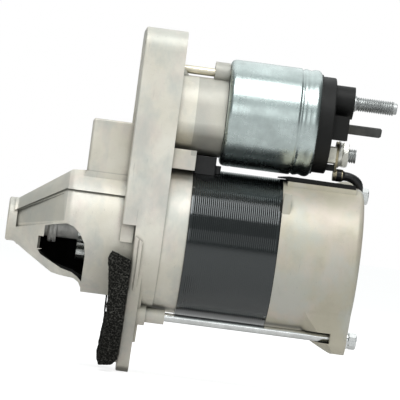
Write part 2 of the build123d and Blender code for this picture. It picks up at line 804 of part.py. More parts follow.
# ---------------------------------------------------------------- fork lever
px, pz = PIVOT
tip_x, tip_z = LEVER_TIP
with BuildPart() as fork_lever:
    with Locations(Location((px, 0, pz), (90, 0, 0))):
        Cylinder(6.0, 36.8)
    for side in (-1, 1):
        low, high = sorted((side * FORK_Y[0], side * FORK_Y[1]))
        side_prism(
            [(px - 3.5, pz), (px + 3.5, pz), (SHOE_X + 3.0, 0.0), (SHOE_X - 3.0, 0.0)], (low, high)
        )
        with Locations(Location((SHOE_X, (low + high) / 2, 0.0), (90, 0, 0))):
            Cylinder(3.4, FORK_Y[1] - FORK_Y[0])
    side_prism([(px - 3.0, pz), (px + 3.4, pz), (tip_x + 2.0, tip_z), (tip_x - 2.0, tip_z)], (-3.5, 3.5))
    with Locations(Location((tip_x, 0, tip_z), (90, 0, 0))):
        Cylinder(3.0, 7.0)
    with Locations(Location((px, 0, pz), (90, 0, 0))):
        Cylinder(PIN_R, 40.0, mode=Mode.SUBTRACT)
save(fork_lever, "fork_lever")

with BuildPart() as fork_shoes:
    for side in (-1, 1):
        with Locations(Location((SHOE_X, side * (11.2 + FORK_Y[0]) / 2, 0.0), (90, 0, 0))):
            Cylinder(2.7, FORK_Y[0] - 11.2)
save(fork_shoes, "fork_shoes")

# ---------------------------------------------------------------- solenoid
with BuildPart() as solenoid_can:
    bar(CAN_FRONT, CAN_END, SOL_R, [(0.0, SOL_Z)])
    fillet(solenoid_can.edges().group_by(Axis.X)[0], 2.5)
    fillet(solenoid_can.edges().group_by(Axis.X)[-1], 2.4)
    turn(
        [
            (CRIMP_GROOVE[0] + 0.4, SOL_R - 0.6),
            (CRIMP_GROOVE[1] - 0.4, SOL_R - 0.6),
            (CRIMP_GROOVE[1], SOL_R + 1.0),
            (CRIMP_GROOVE[0], SOL_R + 1.0),
        ],
        SOL_Z,
        Mode.SUBTRACT,
    )
    bar(CAN_FRONT + 1.8, CAN_END, SOL_R - CAN_WALL, [(0.0, SOL_Z)], mode=Mode.SUBTRACT)
    bar(CAN_FRONT, 53.0, 14.0, [(0.0, SOL_Z)], mode=Mode.SUBTRACT)
    bar(CAN_FRONT, 53.0, SCREW_R + 0.2, screw_points, mode=Mode.SUBTRACT)
save(solenoid_can, "solenoid_can")

SOL_INNER = SOL_R - CAN_WALL
with BuildPart() as solenoid_front_plate:
    tube(CAN_FRONT + 1.8, 56.0, SOL_INNER, PLUNGER_GUIDE_R + 0.6, SOL_Z)
    bar(CAN_FRONT, 58.0, SCREW_R, screw_points, mode=Mode.SUBTRACT)
save(solenoid_front_plate, "solenoid_front_plate")

with BuildPart() as solenoid_screws:
    bar(1.4, 56.0, SCREW_R, screw_points)
    bar(1.4, 5.8, 4.3, screw_points)
    with BuildSketch(Plane.YZ.offset(1.4)) as sockets:
        with Locations(*screw_points):
            RegularPolygon(2.6, 6)
    extrude(sockets.sketch, amount=2.2, mode=Mode.SUBTRACT)
save(solenoid_screws, "solenoid_screws")

with BuildPart() as coil_bobbin:
    turn(
        [
            (56.0, PLUNGER_GUIDE_R),
            (94.0, PLUNGER_GUIDE_R),
            (94.0, SOL_INNER - 0.3),
            (92.6, SOL_INNER - 0.3),
            (92.6, PLUNGER_GUIDE_R + 1.2),
            (57.4, PLUNGER_GUIDE_R + 1.2),
            (57.4, SOL_INNER - 0.3),
            (56.0, SOL_INNER - 0.3),
        ],
        SOL_Z,
    )
save(coil_bobbin, "coil_bobbin")

with BuildPart() as pull_in_winding:
    tube(57.4, 92.6, 20.4, PLUNGER_GUIDE_R + 1.2, SOL_Z)
save(pull_in_winding, "pull_in_winding")

with BuildPart() as hold_in_winding:
    tube(57.4, 92.6, 26.2, 20.4, SOL_Z)
save(hold_in_winding, "hold_in_winding")

ROD_R = 2.4
with BuildPart() as fixed_core:
    turn(
        [
            (CORE_FACE, ROD_R + RUNNING_GAP),
            (CORE_FACE, PLUNGER_GUIDE_R - 0.6),
            (CORE_FACE + 0.6, PLUNGER_GUIDE_R),
            (94.0, PLUNGER_GUIDE_R),
            (94.0, SOL_INNER),
            (96.4, SOL_INNER),
            (96.4, 6.0),
            (96.9, 6.0),
            (96.9, ROD_R + RUNNING_GAP),
        ],
        SOL_Z,
    )
save(fixed_core, "fixed_core")

with BuildPart() as plunger:
    turn(
        [
            (44.0, 4.0),
            (44.0, PLUNGER_R - 1.5),
            (45.5, PLUNGER_R),
            (72.6, PLUNGER_R),
            (73.6, PLUNGER_R - 1.0),
            (73.6, 7.2),
            (66.0, 7.2),
            (66.0, 4.0),
        ],
        SOL_Z,
    )
save(plunger, "plunger")

HOOK_Z = (71.0, 76.0)
with BuildPart() as plunger_hook:
    bar(21.5, 64.0, 4.0, [(0.0, SOL_Z)])
    block((5.4, 22.0), (-6.0, 6.0), HOOK_Z)
    block((8.0, 15.0), (-4.0, 4.0), (60.0, 90.0), mode=Mode.SUBTRACT)
    block((15.0, 22.0), (-7.0, 7.0), (79.0, 90.0), mode=Mode.SUBTRACT)
save(plunger_hook, "plunger_hook")

with BuildPart() as plunger_return_spring:
    coil(67.0, CORE_FACE - 0.1, 5.6, 0.7, 5, (0.0, SOL_Z))
save(plunger_return_spring, "plunger_return_spring")

CONTACT = (99.2, 101.2)
with BuildPart() as contact_rod:
    bar(81.8, CONTACT[0], ROD_R, [(0.0, SOL_Z)])
    bar(CONTACT[0] - 1.6, CONTACT[0], 6.4, [(0.0, SOL_Z)])
    bar(CONTACT[1], CONTACT[1] + 1.6, 5.0, [(0.0, SOL_Z)])
    bar(CONTACT[0], CONTACT[1], 3.0, [(0.0, SOL_Z)])
save(contact_rod, "contact_rod")

with BuildPart() as contact_disc:
    tube(*CONTACT, 17.6, 3.0, SOL_Z)
save(contact_disc, "contact_disc")

# ---------------------------------------------------------------- solenoid cap and terminals
POSTS = [(0.0, BATTERY_Z), (0.0, MOTOR_STUD_Z)]
with BuildPart() as signal_blade:
    with Locations(Location((120.3, -12.5, 72.7), (40, 0, 0))):
        Box(30.0, 0.8, 6.3)
    blade_tip = signal_blade.faces().sort_by(Axis.X)[-1]
    chamfer(blade_tip.edges().sort_by(SortBy.LENGTH)[:2], 1.0)
save(signal_blade, "signal_blade")

with BuildPart() as solenoid_cap:
    bar(CAN_END + 0.5, CAP_FACE, CAP_R, [(0.0, SOL_Z)])
    fillet(solenoid_cap.edges().group_by(Axis.X)[-1], 0.8)
    bar(97.4, CAN_END + 0.5, SOL_INNER, [(0.0, SOL_Z)])
    bar(CAP_FACE - 0.5, 119.0, 9.0, POSTS[:1])
    block((CAP_FACE - 0.5, 116.6), (-19.0, -4.0), (66.0, 78.8))
    block((CAP_FACE - 2.0, 112.4), (-8.0, 8.0), (49.0, 52.4))
    block((105.4, 120.0), (-7.6, 7.6), (52.4, 63.6), mode=Mode.SUBTRACT)
    block((97.4, 103.0), (-3.0, 3.0), (40.0, 42.0), mode=Mode.SUBTRACT)
    bar(97.4, 105.0, 21.0, [(0.0, SOL_Z)], mode=Mode.SUBTRACT)
    bar(104.0, 120.0, STUD_COLLAR_R, POSTS[:1], mode=Mode.SUBTRACT)
    bar(104.0, 120.0, STUD_R, POSTS[1:], mode=Mode.SUBTRACT)
    add(signal_blade.part, mode=Mode.SUBTRACT)
save(solenoid_cap, "solenoid_cap")

with BuildPart() as cap_seal:
    tube(96.4, 97.4, SOL_INNER, 22.0, SOL_Z)
save(cap_seal, "cap_seal")

with BuildPart() as battery_stud:
    bar(104.8, STUD_COLLAR_END, STUD_COLLAR_R, POSTS[:1])
    bar(STUD_COLLAR_END, BATTERY_STUD_END, STUD_R, POSTS[:1])
    bar(BATTERY_STUD_END, BATTERY_STUD_END + DOG_POINT[0], DOG_POINT[1], POSTS[:1])
    block((103.0, 105.0), (-6.0, 6.0), (BATTERY_Z - 5.0, BATTERY_Z + 5.0))
save(battery_stud, "battery_stud")

with BuildPart() as motor_stud:
    bar(104.8, MOTOR_STUD_END, STUD_R, POSTS[1:])
    block((103.0, 105.0), (-6.0, 6.0), (MOTOR_STUD_Z - 4.0, MOTOR_STUD_Z + 5.0))
save(motor_stud, "motor_stud")

with BuildPart() as stud_spacer:
    block((105.4, 112.6), (-7.2, 7.2), (53.0, 62.4))
    fillet(stud_spacer.edges().filter_by(Axis.X), 1.0)
    bar(105.0, 113.0, STUD_R, POSTS[1:], mode=Mode.SUBTRACT)
save(stud_spacer, "stud_spacer")

with BuildPart() as lead_lug:
    hull((112.6, 114.0), [(0.0, MOTOR_STUD_Z, 7.0), (0.0, 49.6, 3.4)])
    bar(112.6, 118.0, 3.4, [(0.0, 47.0)])
    bar(110.0, 115.0, STUD_R, POSTS[1:], mode=Mode.SUBTRACT)
    bar(116.8, 119.0, LEAD_R + 0.1, [(0.0, 47.0)], mode=Mode.SUBTRACT)
save(lead_lug, "lead_lug")

with BuildPart() as stud_washers:
    bar(114.0, 115.0, 7.4, POSTS[1:])
    bar(115.0, 116.0, 6.6, POSTS[1:])
    bar(114.0, 116.0, STUD_R, POSTS[1:], mode=Mode.SUBTRACT)
save(stud_washers, "stud_washers")

with BuildPart() as motor_stud_nut:
    with BuildSketch(Plane.YZ.offset(116.0)) as nut:
        with Locations(*POSTS[1:]):
            RegularPolygon(13.0 / sqrt(3), 6, rotation=25)
            Circle(STUD_R, mode=Mode.SUBTRACT)
    extrude(nut.sketch, amount=3.6)
save(motor_stud_nut, "motor_stud_nut")

print("lead corner radii", [round(radius, 1) for radius in lead_radii(LEAD_ROUTE)])
lead_length = lead_line.wires()[0].length
tube_volume = pi * LEAD_R**2 * lead_length
print("lead", round(lead_length, 1), "mm, volume ratio", round(motor_lead.part.volume / tube_volume, 4))
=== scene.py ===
import json
import math
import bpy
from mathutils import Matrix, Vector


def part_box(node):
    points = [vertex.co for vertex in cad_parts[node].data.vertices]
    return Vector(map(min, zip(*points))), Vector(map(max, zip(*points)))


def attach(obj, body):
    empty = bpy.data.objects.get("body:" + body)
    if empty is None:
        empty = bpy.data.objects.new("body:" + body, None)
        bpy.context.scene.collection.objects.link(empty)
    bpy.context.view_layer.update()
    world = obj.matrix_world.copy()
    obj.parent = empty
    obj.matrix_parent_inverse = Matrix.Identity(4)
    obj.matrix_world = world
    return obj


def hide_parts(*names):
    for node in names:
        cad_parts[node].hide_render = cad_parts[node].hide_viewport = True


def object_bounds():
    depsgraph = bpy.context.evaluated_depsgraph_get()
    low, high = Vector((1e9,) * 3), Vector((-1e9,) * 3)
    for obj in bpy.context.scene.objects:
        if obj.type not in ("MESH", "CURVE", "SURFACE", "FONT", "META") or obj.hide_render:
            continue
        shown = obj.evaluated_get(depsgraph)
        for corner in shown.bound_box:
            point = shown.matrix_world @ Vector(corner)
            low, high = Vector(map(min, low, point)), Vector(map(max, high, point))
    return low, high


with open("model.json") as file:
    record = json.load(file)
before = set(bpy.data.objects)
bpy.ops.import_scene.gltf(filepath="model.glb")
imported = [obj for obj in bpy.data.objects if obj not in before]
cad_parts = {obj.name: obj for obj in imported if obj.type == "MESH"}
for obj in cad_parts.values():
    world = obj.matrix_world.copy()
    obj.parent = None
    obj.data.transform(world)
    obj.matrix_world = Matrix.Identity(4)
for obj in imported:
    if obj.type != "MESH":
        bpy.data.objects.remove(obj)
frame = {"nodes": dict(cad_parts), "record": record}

from types import SimpleNamespace

import bmesh
import bpy
from mathutils import Matrix, Vector, noise

MM = 0.001
CAD_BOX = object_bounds()
NODES = frame["nodes"]
RECORD = frame["record"]
BODY_OF = {n: body for body, names in RECORD["behaviour"]["bodies"].items() for n in names}
SLOT_OF = {s["node"]: s["material_slot"] for s in RECORD["subparts"]}

# ---------------------------------------------------------------- camera
VIEW_TURN = math.radians(2.5)
ROLL = math.radians(7.5)
VIEW_DISTANCE = 1.9
FRAME_WIDTH = 0.2205
AIM = Vector((0.0418, 0.0, 0.0236))
SENSOR = 36.0
UP = Vector((0.0, 0.0, 1.0))


def make_camera():
    """A long lens beside the motor, level with it, turned slightly to the nose and rolled."""
    forward = Vector((math.sin(VIEW_TURN), math.cos(VIEW_TURN), 0.0))
    level = Vector((math.cos(VIEW_TURN), -math.sin(VIEW_TURN), 0.0))
    up = math.cos(ROLL) * UP - math.sin(ROLL) * level
    data = bpy.data.cameras.new("camera")
    data.sensor_width = SENSOR
    data.lens = SENSOR * VIEW_DISTANCE / FRAME_WIDTH
    camera = bpy.data.objects.new("camera", data)
    bpy.context.scene.collection.objects.link(camera)
    camera.location = AIM - forward * VIEW_DISTANCE
    camera.rotation_mode = "QUATERNION"
    turned = Matrix([forward.cross(up), up, -forward]).transposed()
    camera.rotation_quaternion = turned.to_quaternion()
    bpy.context.scene.camera = camera


make_camera()

# ---------------------------------------------------------------- material helpers


def new_tree(name):
    """A material with a Principled shader, and the coordinates it is painted in."""
    mat = bpy.data.materials.new(name)
    mat.use_nodes = True
    tree = mat.node_tree
    coords = tree.nodes.new("ShaderNodeTexCoord")
    return SimpleNamespace(
        mat=mat, tree=tree, shader=tree.nodes["Principled BSDF"], coords=coords.outputs["Object"]
    )


def set_shader(t, **values):
    """Set sockets of the shader by name, with spaces written as underscores."""
    for key, value in values.items():
        t.shader.inputs[key.replace("_", " ")].default_value = value


def stretched(t, scale):
    """Object coordinates scaled on each axis."""
    mapping = t.tree.nodes.new("ShaderNodeMapping")
    mapping.inputs["Scale"].default_value = scale
    t.tree.links.new(t.coords, mapping.inputs["Vector"])
    return mapping.outputs["Vector"]


def noise_at(t, scale, detail=4.0, rough=0.55, vector=None):
    """A noise value; scale is in cells per metre."""
    node = t.tree.nodes.new("ShaderNodeTexNoise")
    node.inputs["Scale"].default_value = scale
    node.inputs["Detail"].default_value = detail
    node.inputs["Roughness"].default_value = rough
    t.tree.links.new(vector or t.coords, node.inputs["Vector"])
    return node.outputs["Fac"]


def cells_at(t, scale):
    """Distance to the nearest cell point."""
    node = t.tree.nodes.new("ShaderNodeTexVoronoi")
    node.inputs["Scale"].default_value = scale
    t.tree.links.new(t.coords, node.inputs["Vector"])
    return node.outputs["Distance"]


def ramp(t, value, stops):
    """A colour ramp with (position, colour or grey) stops."""
    node = t.tree.nodes.new("ShaderNodeValToRGB")
    while len(node.color_ramp.elements) < len(stops):
        node.color_ramp.elements.new(0.5)
    for element, (position, colour) in zip(node.color_ramp.elements, sorted(stops)):
        element.position = position
        rgb = colour if isinstance(colour, tuple) else (colour,) * 3
        element.color = (*rgb, 1.0)
    t.tree.links.new(value, node.inputs["Fac"])
    return node.outputs["Color"]


def blend_colours(t, factor, first, second):
    """Mix two colours, each a socket or a tuple."""
    node = t.tree.nodes.new("ShaderNodeMix")
    node.data_type = "RGBA"
    inputs = [s for s in node.inputs if s.type == "RGBA"]
    for source, socket in zip((first, second), inputs):
        if isinstance(source, tuple):
            socket.default_value = (*source, 1.0)
        else:
            t.tree.links.new(source, socket)
    t.tree.links.new(factor, node.inputs["Factor"])
    return [s for s in node.outputs if s.type == "RGBA"][0]


def maths(t, operation, *values):
    """A math node on sockets and numbers."""
    node = t.tree.nodes.new("ShaderNodeMath")
    node.operation = operation
    for value, socket in zip(values, node.inputs):
        if isinstance(value, (int, float)):
            socket.default_value = value
        else:
            t.tree.links.new(value, socket)
    return node.outputs[0]


def axes_of(t):
    """The object coordinates as three separate values."""
    node = t.tree.nodes.new("ShaderNodeSeparateXYZ")
    t.tree.links.new(t.coords, node.inputs[0])
    return node.outputs


def product(t, *factors):
    """Several values multiplied together."""
    total, *rest = factors
    for factor in rest:
        total = maths(t, "MULTIPLY", total, factor)
    return total


def between(t, value, low, high):
    """White where a value lies between two numbers."""
    return product(t, maths(t, "GREATER_THAN", value, low), maths(t, "LESS_THAN", value, high))


def overlaid(t, tint, colour, value, stops):
    """A tint with a colour laid over it where the ramp of a value is bright."""
    return blend_colours(t, ramp(t, value, stops), tint, colour)


def colour_from(t, socket):
    t.tree.links.new(socket, t.shader.inputs["Base Color"])


def roughness_from(t, socket):
    t.tree.links.new(socket, t.shader.inputs["Roughness"])


def bump_from(t, *heights):
    """Chain bumps; each height is (socket, strength, depth in metres)."""
    normal = None
    for socket, strength, depth in heights:
        node = t.tree.nodes.new("ShaderNodeBump")
        node.inputs["Strength"].default_value = strength
        node.inputs["Distance"].default_value = depth
        t.tree.links.new(socket, node.inputs["Height"])
        if normal:
            t.tree.links.new(normal, node.inputs["Normal"])
        normal = node.outputs["Normal"]
    t.tree.links.new(normal, t.shader.inputs["Normal"])


# ---------------------------------------------------------------- materials
# The nose's cavity in metres: a cone that widens from its start, up to its widest radius
CAVITY_START = -0.0426
CAVITY_END = 0.018
CAVITY_TOP = 0.0309
CAVITY_RADIUS = 0.0205
CAVITY_SLOPE = 0.79
CAVITY_WIDEST = 0.0328


def painted_shade_inside(t):
    """White inside the nose, where the casting is painted near black: painted shade over a greasy
    inside.
    """
    x, y, z = axes_of(t)
    squares = maths(t, "ADD", product(t, y, y), product(t, z, z))
    depth = maths(t, "SUBTRACT", x, CAVITY_START)
    wall = maths(t, "MULTIPLY_ADD", depth, CAVITY_SLOPE, CAVITY_RADIUS)
    inside = maths(t, "LESS_THAN", maths(t, "SQRT", squares), maths(t, "MINIMUM", wall, CAVITY_WIDEST))
    below = maths(t, "LESS_THAN", z, CAVITY_TOP)
    return product(t, inside, between(t, x, CAVITY_START, CAVITY_END), below)


def crevice_shade(t, reach):
    """White where another surface is close, black in the open: painted shade in creases and corners."""
    node = t.tree.nodes.new("ShaderNodeAmbientOcclusion")
    node.samples = 6
    node.inputs["Distance"].default_value = reach
    return ramp(t, node.outputs["AO"], [(0.35, 0.85), (0.8, 0.0)])


# The cone's upper facets: their span along X, and the sloping line under them as z = slope x + offset
FACET_SPAN = (-0.0565, -0.031)
FACET_SLOPE = 0.2
FACET_OFFSET = 0.0094
FACET_SHADE_SHARE = 0.36


def shaded_facets(t):
    """Grey over the upper facets of the nose cone, painted as shade."""
    x, _, z = axes_of(t)
    above = maths(t, "GREATER_THAN", z, maths(t, "MULTIPLY_ADD", x, FACET_SLOPE, FACET_OFFSET))
    return product(t, between(t, x, *FACET_SPAN), above, FACET_SHADE_SHARE)


NECK_SPAN = (0.0325, 0.0495)
NECK_LOW = 0.047
NECK_SHADE_SHARE = 0.55


def shaded_neck(t):
    """Half white over the neck in front of the solenoid: painted shade, darker than the skin, where it
    sits between the arm and the can.
    """
    x, _, z = axes_of(t)
    above = maths(t, "GREATER_THAN", z, NECK_LOW)
    return product(t, between(t, x, *NECK_SPAN), above, NECK_SHADE_SHARE)


SPECK_TONE = (0.2, 0.195, 0.18)
ROSY_TONE = (0.7, 0.6, 0.55)
COOL_TONE = (0.53, 0.56, 0.52)
SCRATCH_TONE = (0.28, 0.27, 0.25)
CREVICE_SHADE_TONE = (0.16, 0.155, 0.13)
CREVICE_SHADE_REACH = 0.004
NECK_SHADE_TONE = (0.36, 0.355, 0.32)
FACET_SHADE_TONE = (0.33, 0.33, 0.29)
INSIDE_SHADE_TONE = (0.012, 0.012, 0.01)


def cast_metal(name, low, high, rough):
    """Die-cast aluminium with a fine skin and faint stains, with painted shade in crevices, over the
    neck and the upper cone facets, and a nose inside painted near black as shade.
    """
    t = new_tree(name)
    broad = noise_at(t, 26, 5)
    skin = noise_at(t, 1500, 3, 0.6)
    stains = noise_at(t, 90, 6, 0.65)
    specks = cells_at(t, 420)
    tint = ramp(t, broad, [(0.35, low), (0.65, high)])
    grey = tuple(c * 0.78 for c in low)
    tint = overlaid(t, tint, grey, stains, [(0.52, 0.0), (0.8, 0.5)])
    tint = overlaid(t, tint, SPECK_TONE, specks, [(0.03, 0.35), (0.09, 0.0)])
    rosy = noise_at(t, 48, 4, 0.6, stretched(t, (1.0, 1.0, 0.6)))
    cool = noise_at(t, 37, 4, 0.6, stretched(t, (1.3, 1.0, 0.8)))
    tint = overlaid(t, tint, ROSY_TONE, rosy, [(0.45, 0.0), (0.62, 0.45)])
    tint = overlaid(t, tint, COOL_TONE, cool, [(0.46, 0.0), (0.62, 0.55)])
    scratches = noise_at(t, 1.0, 3, 0.6, stretched(t, (900, 900, 45)))
    tint = overlaid(t, tint, SCRATCH_TONE, scratches, [(0.66, 0.0), (0.74, 0.28)])
    # painted shade: darker colour in creases and corners where other surfaces are close
    tint = blend_colours(t, crevice_shade(t, CREVICE_SHADE_REACH), tint, CREVICE_SHADE_TONE)
    # painted shade over the neck between the arm and the can
    tint = blend_colours(t, shaded_neck(t), tint, NECK_SHADE_TONE)
    # painted shade over the upper facets of the nose cone
    tint = blend_colours(t, shaded_facets(t), tint, FACET_SHADE_TONE)
    # painted shade: the inside of the nose painted near black
    tint = blend_colours(t, painted_shade_inside(t), tint, INSIDE_SHADE_TONE)
    colour_from(t, tint)
    roughness_from(t, ramp(t, stains, [(0.3, rough), (0.75, rough + 0.14)]))
    set_shader(t, Metallic=0.25)
    bump_from(t, (skin, 0.3, 0.0002), (broad, 0.2, 0.0006))
    return t.mat


DRAWN_GRAIN = (40, 2600, 2600)
CROSS_GRAIN = (2400, 90, 90)


def plated(name, colour, rough):
    """Zinc-plated steel with fine drawn lines both ways and cloudy plating."""
    t = new_tree(name)
    lines = noise_at(t, 1.0, 3, 0.5, stretched(t, DRAWN_GRAIN))
    cross = noise_at(t, 1.0, 2, 0.5, stretched(t, CROSS_GRAIN))
    clouds = noise_at(t, 75, 6, 0.65)
    dark = tuple(c * 0.7 for c in colour)
    tint = ramp(t, clouds, [(0.3, dark), (0.65, colour)])
    tint = overlaid(t, tint, dark, cross, [(0.45, 0.0), (0.75, 0.3)])
    colour_from(t, tint)
    roughness_from(t, ramp(t, clouds, [(0.3, rough + 0.12), (0.7, rough)]))
    set_shader(t, Metallic=1.0)
    bump_from(t, (lines, 0.14, 0.00008), (cross, 0.14, 0.00008), (noise_at(t, 260, 3), 0.06, 0.0002))
    return t.mat


def black_paint():
    """Gloss black paint over the turned yoke."""
    t = new_tree("black_paint")
    dust = noise_at(t, 240, 6, 0.7)
    colour_from(t, ramp(t, dust, [(0.5, (0.002, 0.0025, 0.0025)), (0.85, (0.008, 0.009, 0.009))]))
    roughness_from(t, ramp(t, dust, [(0.4, 0.1), (0.8, 0.18)]))
    set_shader(t, Specular_IOR_Level=0.85, Coat_Weight=0.6, Coat_Roughness=0.05)
    set_shader(t, Specular_Tint=(0.9, 0.98, 1.0, 1.0))
    bump_from(t, (noise_at(t, 1300, 3), 0.03, 0.00004))
    return t.mat


def moulded(name, colour, rough):
    """Glass-filled black plastic with a fine eroded texture."""
    t = new_tree(name)
    cloud = noise_at(t, 80, 4)
    lighter = tuple(c * 1.9 + 0.004 for c in colour)
    colour_from(t, ramp(t, cloud, [(0.35, colour), (0.75, lighter)]))
    roughness_from(t, ramp(t, cloud, [(0.3, rough - 0.08), (0.7, rough + 0.1)]))
    set_shader(t, Specular_IOR_Level=0.3)
    bump_from(t, (noise_at(t, 1900, 4, 0.6), 0.2, 0.00015))
    return t.mat


PORE_SHADE = (0.001, 0.001, 0.001)
PORE_EDGE = (0.012, 0.012, 0.0105)
STRUT_TONE = (0.09, 0.088, 0.078)
FINE_TONE = (0.016, 0.0155, 0.013)
PAINTED_GLINT_TONE = (0.2, 0.195, 0.18)


def foam():
    """Open-cell foam: black pores painted as shade between grey struts, with a few bright specks
    painted as glints.
    """
    t = new_tree("foam")
    pores = cells_at(t, 1150)
    small = cells_at(t, 2300)
    # painted shade: the pores darker than the struts
    tint = ramp(t, pores, [(0.2, PORE_SHADE), (0.5, PORE_EDGE), (0.85, STRUT_TONE)])
    tint = overlaid(t, tint, FINE_TONE, small, [(0.35, 0.0), (0.75, 0.6)])
    # painted highlight: a few bright glints on the struts
    painted_glints = noise_at(t, 1300, 2, 0.5)
    tint = overlaid(t, tint, PAINTED_GLINT_TONE, painted_glints, [(0.66, 0.0), (0.72, 0.6)])
    colour_from(t, tint)
    set_shader(t, Roughness=0.95, Specular_IOR_Level=0.12)
    bump_from(t, (pores, 0.8, 0.0006), (small, 0.5, 0.0003))
    return t.mat


def worked(name, colour, rough, metallic=1.0):
    """Machined metal with turning marks round the shaft and light handling stains."""
    t = new_tree(name)
    marks = noise_at(t, 1.0, 2, 0.5, stretched(t, (5200, 60, 60)))
    stain = noise_at(t, 140, 5, 0.6)
    dark = tuple(c * 0.7 for c in colour)
    colour_from(t, ramp(t, stain, [(0.35, dark), (0.62, colour)]))
    roughness_from(t, ramp(t, stain, [(0.35, rough + 0.14), (0.7, rough)]))
    set_shader(t, Metallic=metallic)
    bump_from(t, (marks, 0.14, 0.0001), (noise_at(t, 700, 3), 0.08, 0.0001))
    return t.mat


def rubber(name, rough):
    """Black rubber with a faint bloom."""
    t = new_tree(name)
    bloom = noise_at(t, 180, 6, 0.7)
    colour_from(t, ramp(t, bloom, [(0.4, (0.006, 0.006, 0.0065)), (0.8, (0.025, 0.025, 0.026))]))
    roughness_from(t, ramp(t, bloom, [(0.3, rough), (0.8, rough + 0.2)]))
    bump_from(t, (noise_at(t, 1500, 4), 0.25, 0.0002))
    return t.mat


MATERIALS = {
    "cast_aluminium": cast_metal("cast_aluminium", (0.76, 0.72, 0.615), (0.88, 0.85, 0.765), 0.42),
    "foam": foam(),
    "bronze": worked("bronze", (0.42, 0.27, 0.12), 0.38),
    "steel": worked("steel", (0.66, 0.67, 0.65), 0.2),
    "zinc": plated("zinc", (0.66, 0.75, 0.735), 0.22),
    "black_paint": black_paint(),
    "black_plastic": moulded("black_plastic", (0.004, 0.004, 0.0036), 0.52),
    "black_rubber": rubber("black_rubber", 0.5),
    "magnet": worked("magnet", (0.08, 0.08, 0.09), 0.6, 0.2),
    "laminations": worked("laminations", (0.3, 0.3, 0.31), 0.45),
    "copper": worked("copper", (0.72, 0.36, 0.2), 0.32),
    "brass": worked("brass", (0.72, 0.55, 0.28), 0.25),
    "carbon": rubber("carbon", 0.6),
    "tinned": worked("tinned", (0.84, 0.82, 0.76), 0.14),
    "cable_sleeve": rubber("cable_sleeve", 0.28),
}
COVER_METAL = cast_metal("cover_aluminium", (0.53, 0.49, 0.38), (0.62, 0.58, 0.47), 0.4)
STUD_METAL = worked("stud_steel", (0.62, 0.635, 0.63), 0.36)
# painted reflection: a near-white, mostly diffuse steel for the shaft and stop collar, standing in for
# the bright reflection on the real ground steel
SHAFT_METAL_PAINTED_SHEEN = worked("ground_steel_painted_sheen", (0.95, 0.94, 0.9), 0.3, 0.15)
# painted reflection: a bright cream, mostly diffuse tin for the spacer, standing in for the bright
# reflection on the real tinned metal
SPACER_METAL_PAINTED_SHEEN = worked("spacer_tin_painted_sheen", (0.93, 0.9, 0.78), 0.22, 0.45)
NUT_METAL = worked("nut_zinc", (0.9, 0.89, 0.82), 0.25, 0.6)
LUG_METAL = worked("lug_tin", (0.5, 0.44, 0.3), 0.3)
SCREW_METAL = plated("screw_zinc", (0.86, 0.8, 0.64), 0.26)
BOLT_METAL = plated("bolt_zinc", (0.95, 0.96, 0.95), 0.1)
DARK_BLADE = worked("blade_metal", (0.12, 0.122, 0.12), 0.34, 0.8)
OWN_MATERIAL = {
    "rear_cover": COVER_METAL,
    "solenoid_screws": SCREW_METAL,
    "signal_blade": DARK_BLADE,
    "lead_lug": LUG_METAL,
    "output_shaft": SHAFT_METAL_PAINTED_SHEEN,
    "stop_collar": SHAFT_METAL_PAINTED_SHEEN,
    "stud_spacer": SPACER_METAL_PAINTED_SHEEN,
    "stud_washers": NUT_METAL,
}
EDGE_MM = {"drive_end_housing": 0.45, "rear_cover": 0.5, "solenoid_cap": 0.5}
PLAIN_EDGE_MM = 0.15
WELD_MM = 0.01
EDGE_ANGLE = math.radians(40)


def dress(name, node):
    """Give a CAD node its material, soft edges and clean shading."""
    node.data.materials.clear()
    node.data.materials.append(OWN_MATERIAL.get(name, MATERIALS[SLOT_OF[name]]))
    weld = node.modifiers.new("weld", "WELD")
    weld.merge_threshold = WELD_MM * MM
    bevel = node.modifiers.new("edges", "BEVEL")
    bevel.width = EDGE_MM.get(name, PLAIN_EDGE_MM) * MM
    bevel.segments = 2
    bevel.limit_method = "ANGLE"
    bevel.angle_limit = EDGE_ANGLE
    node.modifiers.new("normals", "WEIGHTED_NORMAL").keep_sharp = True


for node_name, cad_node in NODES.items():
    dress(node_name, cad_node)

# ---------------------------------------------------------------- mesh helpers
DOUBLES_MM = 0.002


def place(mesh_name, verts, faces, material, node, sharp):
    """Make a piece from vertices in metres, riding on the body of the CAD node it stands for."""
    mesh = bpy.data.meshes.new(mesh_name)
    mesh.from_pydata([tuple(v) for v in verts], [], faces)
    bm = bmesh.new()
    bm.from_mesh(mesh)
    bmesh.ops.remove_doubles(bm, verts=bm.verts, dist=DOUBLES_MM * MM)
    bmesh.ops.recalc_face_normals(bm, faces=bm.faces)
    bm.to_mesh(mesh)
    bm.free()
    mesh.shade_smooth()
    mesh.set_sharp_from_angle(angle=math.radians(sharp))
    mesh.materials.append(material)
    piece = bpy.data.objects.new(mesh_name, mesh)
    bpy.context.scene.collection.objects.link(piece)
    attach(piece, BODY_OF[node])
    return piece


def ring_faces(rows, around):
    """Quads between each ring of points and the next."""
    faces = []
    for i in range(rows - 1):
        for j in range(around):
            k = (j + 1) % around
            faces.append((i * around + j, i * around + k, (i + 1) * around + k, (i + 1) * around + j))
    return faces


def rings(stations, radius_at, centre, around):
    """Rings of points along X; radius_at(x, index, angle) gives each point in millimetres."""
    verts = []
    for index, x in enumerate(stations):
        for j in range(around):
            angle = 2 * math.pi * j / around
            r = radius_at(x, index, angle)
            y = centre[0] + r * math.cos(angle)
            z = centre[1] + r * math.sin(angle)
            verts.append((x * MM, y * MM, z * MM))
    return verts, ring_faces(len(stations), around)


def revolved(outline, centre, around):
    """Rings through the (x, radius) points of an outline in millimetres."""
    return rings([x for x, _ in outline], lambda x, i, a: outline[i][1], centre, around)


